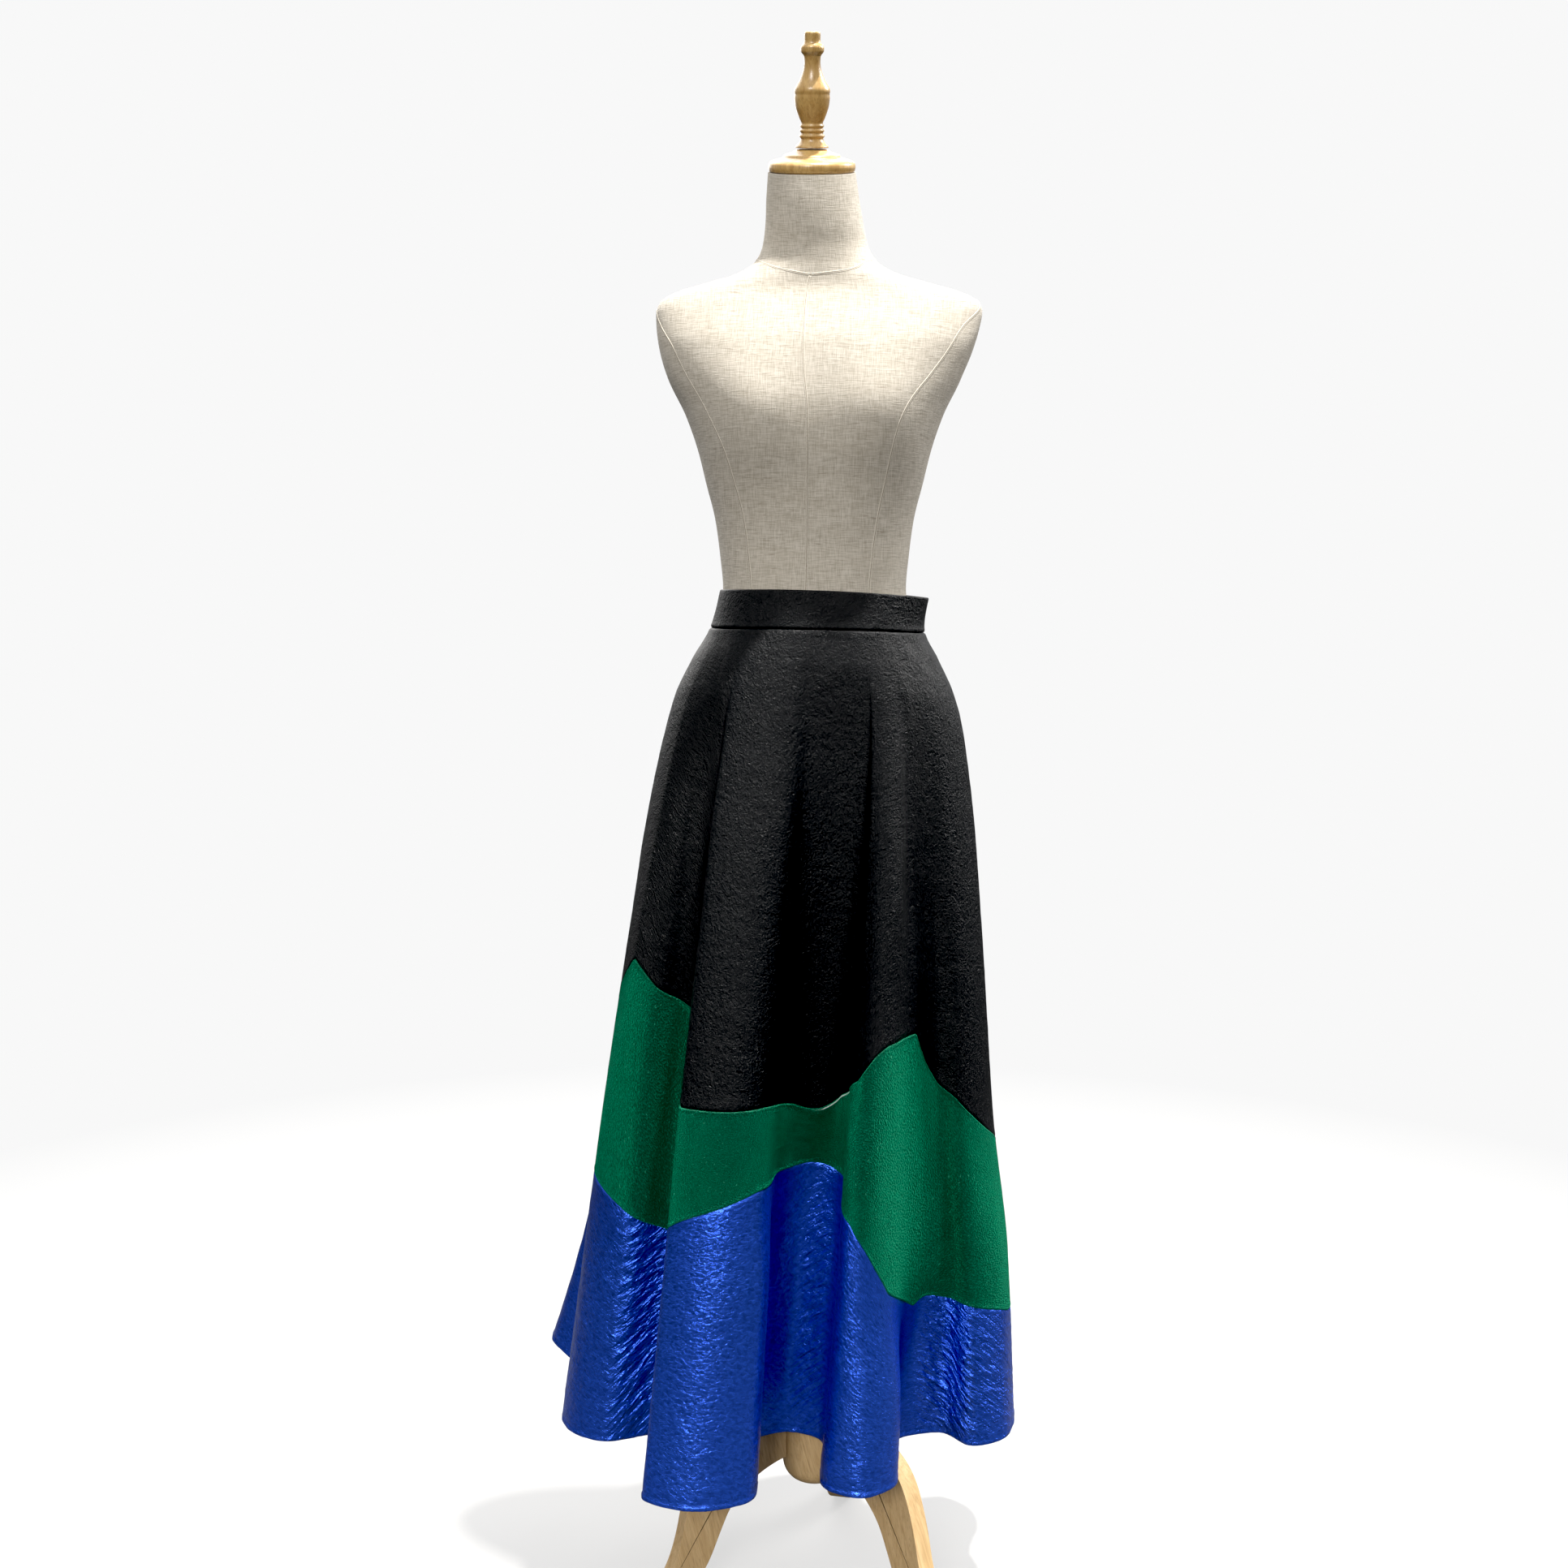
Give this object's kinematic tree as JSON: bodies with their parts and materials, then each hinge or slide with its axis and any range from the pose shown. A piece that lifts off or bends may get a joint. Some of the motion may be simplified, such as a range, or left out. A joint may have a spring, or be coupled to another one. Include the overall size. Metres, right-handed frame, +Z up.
{
  "type": "flared skirt on a limbless dress form with a tripod stand",
  "caption": "Flared long skirt in black satin, green velvet and blue taffeta with zigzag seams and a plain waistband, worn by a limbless linen dress form on a pole with a wooden tripod",
  "frame": {"origin": "on the floor, under the middle of the part's bounding box", "axes": "+Z up, -Y the way the wearer faces, +X to the wearer's left"},
  "size_m": [0.5555, 0.4509, 1.7704],
  "materials": {
    "black_satin": "crinkled black satin",
    "green_velvet": "emerald velvet",
    "blue_taffeta": "crinkled royal blue taffeta",
    "zip_tape": "matt woven tape",
    "linen": "slubby natural linen",
    "varnished_wood": "turned and varnished",
    "pale_wood": "pale oiled beech"
  },
  "bodies": {
    "root": {"waistband": "black_satin", "black_front": "black_satin", "black_back": "black_satin", "green_front": "green_velvet", "green_back": "green_velvet", "blue_front": "blue_taffeta", "blue_back": "blue_taffeta", "side_zip": "zip_tape", "torso": "linen", "neck_cap": "varnished_wood", "finial": "varnished_wood", "pole": "pale_wood", "hub": "pale_wood", "leg_right": "pale_wood", "leg_left": "pale_wood", "leg_back": "pale_wood"}
  },
  "joints": []
}
